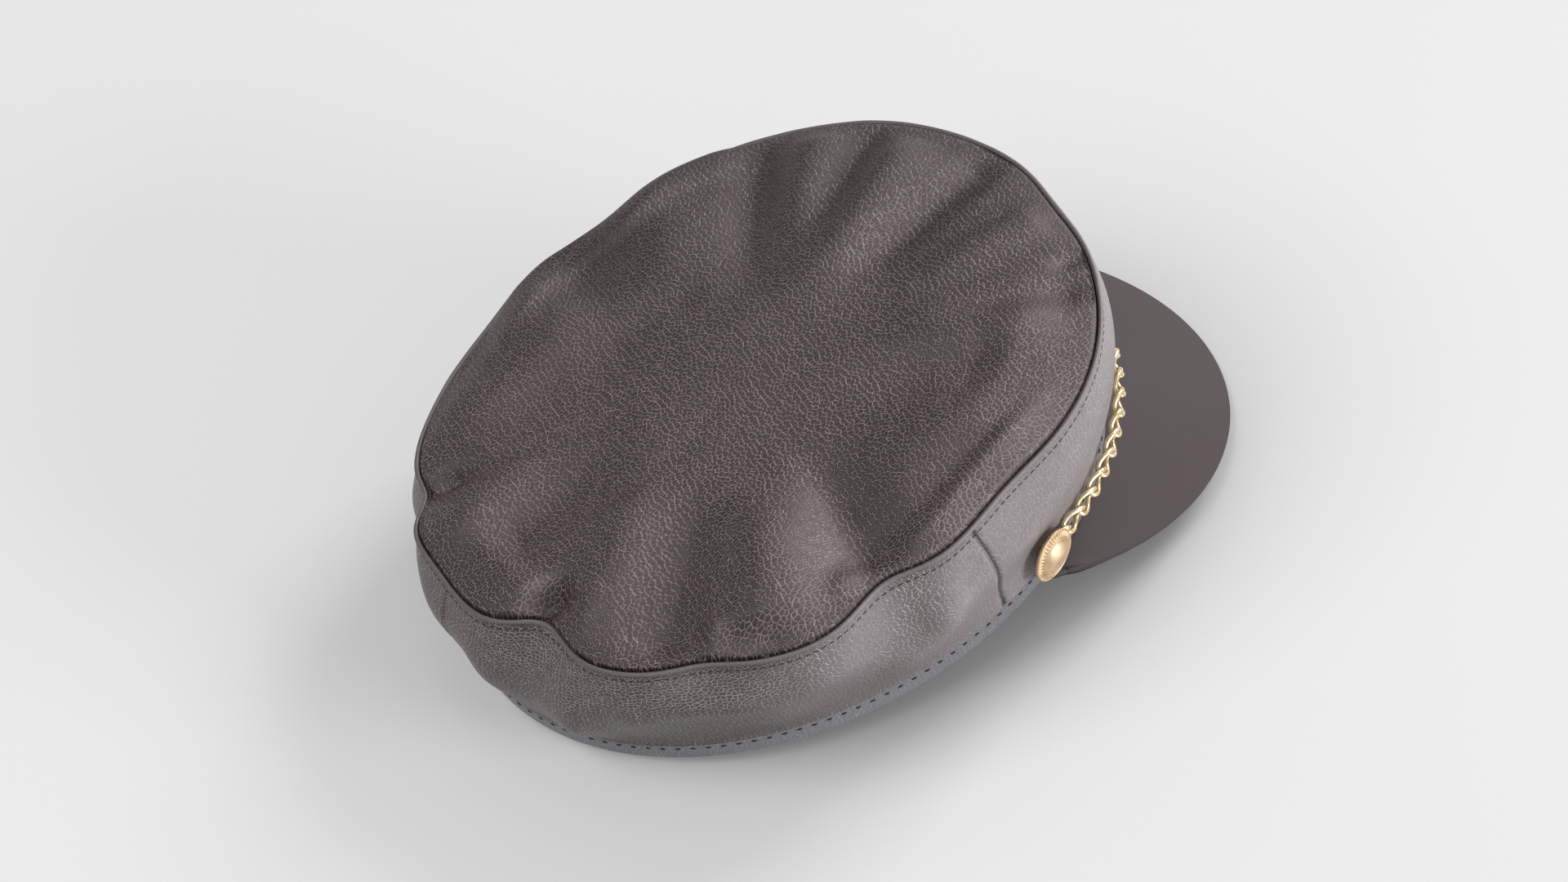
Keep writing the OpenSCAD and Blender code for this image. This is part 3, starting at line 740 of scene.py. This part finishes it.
piece(
    "visor_top_leather", visor_layer(0, VISOR_LEATHER, ROUND_TOP + [(VISOR_LEATHER, 1.0)]),
    VISOR_TOP_M, "cap", "visor_top",
)
under = VISOR_LEATHER + BOARD_T
ROUND_UNDER = [(under + 0.02, 0.7), (under + 0.25, 0.6), (VISOR_T - 0.25, 0.62), (VISOR_T, 0.9)]
piece(
    "visor_under_leather", visor_layer(under, VISOR_T, ROUND_UNDER),
    VISOR_UNDER_M, "cap", "visor_under",
)


# ---- Chain ----
def chain_sag(a):
    return 1 - (a / BUTTON_ANGLE) ** 2


def chain_centre(a):
    sag = chain_sag(a)
    return rim(a, BUTTON_H - 4.5 * sag) + outward(a) * np.expand_dims(LOOP_OFFSET + 4.3 * sag, -1)


def chain_axes(run, a):
    up = unit(np.cross(outward(a), run))
    return np.array([run, up, np.cross(run, up)])


def oval(half, inner, twists, u):
    x = cosd(u)
    reach = np.where(x > 0, twists[1], twists[0]) * np.abs(x) ** twists[2]
    w = inner * sind(u)
    return flat(half * x, w * cosd(reach), w * sind(reach))


def wire_ring(origin, axes, half, inner, wire, twists, steps=56, sides=12):
    u = np.arange(steps) * 360 / steps
    c = oval(half, inner, twists, u)
    along = unit(oval(half, inner, twists, u + 2) - oval(half, inner, twists, u - 2))
    side = unit(np.cross(along, unit(c * [0.6, 1, 1])))
    top = np.cross(along, side)
    g = np.arange(sides)[None, :, None] * 360 / sides
    points = c[:, None] + wire / 2 * (side[:, None] * cosd(g) + top[:, None] * sind(g))
    return ring(origin + points @ axes)


whole = np.arange(0, BUTTON_ANGLE + 0.5)
half_run = np.linalg.norm(np.diff(chain_centre(whole), axis=0), axis=1).sum()
HOOK = (LOOP_WIRE + WIRE_D) / 2 + 0.2
PITCH = (half_run - LOOP_REACH + HOOK - (WIRE_D + LINK_SLACK) / 2) / (LINKS_EACH_SIDE + 0.5)
LINK_HALF = (PITCH + WIRE_D + LINK_SLACK) / 2


def chain_step(a, length):
    return length / np.linalg.norm(chain_centre(a + 0.5) - chain_centre(a - 0.5))


link_angles = [0.0]
for _ in range(LINKS_EACH_SIDE):
    here = link_angles[-1]
    link_angles.append(here + chain_step(here + chain_step(here, PITCH) / 2, PITCH))
links = []
for a in [-x for x in link_angles[:0:-1]] + link_angles:
    run = unit(chain_centre(a + 1) - chain_centre(a - 1))
    axes = chain_axes(run, a)
    links.append(wire_ring(chain_centre(a), axes, LINK_HALF, LINK_INNER, WIRE_D, (-45, 45, 1)))
piece("chain_links_curb", join(links), CHAIN_M, "chain", "chain_links")

for name, side in (("right", -1), ("left", 1)):
    a = side * link_angles[-1]
    shank = chain_centre(side * BUTTON_ANGLE)
    run = unit(chain_centre(a + 1) - chain_centre(a - 1))
    link_end = chain_centre(a) + side * LINK_HALF * run
    reach = np.linalg.norm(link_end - shank) + HOOK
    run = side * unit(shank - link_end)
    centre = shank - side * run * (reach - LOOP_BACK) / 2
    twists = (-45, 0, 2) if side > 0 else (0, 45, 2)
    axes = chain_axes(run, side * BUTTON_ANGLE)
    piece(
        "chain_end_loop_%s_wire" % name,
        wire_ring(centre, axes, (reach + LOOP_BACK) / 2, LOOP_INNER, LOOP_WIRE, twists, 72),
        CHAIN_M, "chain", "chain_end_loop_" + name,
    )

# ---- Buttons: a smooth domed centre, two beads, and a sloping reeded rim ----
# Radius and height over the rim's plane, from the centre out and back underneath
BUTTON_PROFILE = [
    (0.9, 3.97), (1.9, 3.86), (2.9, 3.66), (3.8, 3.36), (4.6, 2.96), (5.1, 2.62),
    (5.3, 2.4), (5.45, 2.45), (5.62, 2.6), (5.8, 2.5), (5.92, 2.22), (6.05, 2.1),
    (6.2, 2.2), (6.35, 2.25), (6.5, 2.1), (6.62, 1.9), (6.8, 1.85), (7.2, 1.72),
    (7.6, 1.56), (7.9, 1.42), (8.02, 1.3), (8.16, 1.42), (8.34, 1.4), (8.5, 1.2),
    (8.5, 0.6), (8.36, 0.35), (8.1, 0.25), (7.4, 0.3), (6.4, 0.45), (3.0, 0.45), (1.6, 0.45),
]
BUTTON_TOP, BUTTON_BACK = 4.0, 0.45
REEDS, REED_FROM, REED_TO, REED_DEPTH = 40, 6.7, 7.95, 0.5
for name, side in (("right", -1), ("left", 1)):
    n = outward(side * BUTTON_ANGLE)
    down, tangent = np.array([0, 0, -1.0]), np.cross(n, [0, 0, -1.0])
    origin = rim(side * BUTTON_ANGLE, BUTTON_H) + RIM_OFFSET * n
    turn = np.linspace(0, 360, REEDS * 8, endpoint=False)[:, None]
    r, z = np.array(BUTTON_PROFILE).T
    reeded = (r > REED_FROM) & (r < REED_TO) & (z > 1)
    cut = reeded * REED_DEPTH * (0.5 - 0.5 * cosd(REEDS * turn)) ** 1.5
    points = (
        origin + (r * cosd(turn))[..., None] * down + (r * sind(turn))[..., None] * tangent
        + (z - cut)[..., None] * n
    )
    rows, columns = points.shape[:2]
    ends = [origin + BUTTON_TOP * n, origin + BUTTON_BACK * n]
    everything = np.concatenate([points.reshape(-1, 3), ends])
    first, last = rows * columns, rows * columns + 1
    loop = np.arange(rows)
    after, none = np.roll(loop, -1), 0 * loop
    inner, outer = columns - 1 + loop * columns, columns - 1 + after * columns
    front_cap = np.stack([loop * columns, none + first, none + first, after * columns], -1)
    back_cap = np.stack([outer, none + last, none + last, inner], -1)
    sides = quads(rows, columns, True, False)
    faces = np.concatenate([sides, front_cap[:, ::-1], back_cap[:, ::-1]])
    piece(
        "button_cap_%s_domed" % name, (everything, faces, everything[:, :2]),
        BUTTON_M, "button_" + name, "button_cap_" + name,
    )

# ---- Floor, light and camera ----
n = Nodes("floor")
floor_tone = n.blend(n.noise(3, 2.0), (0.66, 0.657, 0.652), (0.68, 0.677, 0.672))
floor_material = n.finish(floor_tone, 0.27, Specular_IOR_Level=0.4)
FLOOR_HALF = 4.0
mesh = bpy.data.meshes.new("floor")
CORNERS = ((-1, -1), (1, -1), (1, 1), (-1, 1))
floor_corners = [(x * FLOOR_HALF, y * FLOOR_HALF, 0) for x, y in CORNERS]
mesh.from_pydata(floor_corners, [], [(0, 1, 2, 3)])
mesh.materials.append(floor_material)
floor = bpy.data.objects.new("floor", mesh)
bpy.context.scene.collection.objects.link(floor)


def softbox(name, place, target, size, watts, color=(1, 1, 1)):
    light = bpy.data.lights.new(name, "AREA")
    light.shape, light.size, light.size_y = "RECTANGLE", size[0], size[1]
    light.energy, light.color = watts, color
    lamp = bpy.data.objects.new(name, light)
    lamp.location = place
    lamp.rotation_euler = (Vector(target) - Vector(place)).to_track_quat("-Z", "Y").to_euler()
    bpy.context.scene.collection.objects.link(lamp)


world = bpy.data.worlds.new("studio")
world.use_nodes = True
background = world.node_tree.nodes["Background"].inputs
background["Color"].default_value = (0.95, 0.97, 1, 1)
background["Strength"].default_value = 0.45
bpy.context.scene.world = world
bpy.context.scene.view_settings.view_transform = "Standard"
softbox("key", (-2.6, -1.9, 0.9), (0, 0, 0.03), (1.6, 0.9), 68, (0.97, 0.98, 1))
softbox("sheen", (0.8, -2.7, 1.9), (0, 0, 0.05), (1.4, 1.4), 60, (1, 0.97, 0.97))
softbox("sky", (-0.1, 2.1, 2.6), (0, 0, 0), (2.4, 2.4), 69)

# The photograph's viewing direction, from behind and above on the wearer's right
AZIMUTH, ELEVATION, ROLL = -114.937, 48.541, -5.873
TARGET, DISTANCE, FOCAL = Vector(laid((0.4, -6.5, 22.9))), 1.1349, 85.65
back = Vector((
    sind(AZIMUTH) * cosd(ELEVATION), -cosd(AZIMUTH) * cosd(ELEVATION), sind(ELEVATION),
))
lens = bpy.data.cameras.new("camera")
lens.lens, lens.sensor_width = FOCAL, 36
camera = bpy.data.objects.new("camera", lens)
camera.location = TARGET + back * DISTANCE
aim = (-back).to_track_quat("-Z", "Y").to_matrix().to_4x4()
camera.rotation_euler = (aim @ Matrix.Rotation(np.radians(ROLL), 4, "Z")).to_euler()
bpy.context.scene.collection.objects.link(camera)
bpy.context.scene.camera = camera
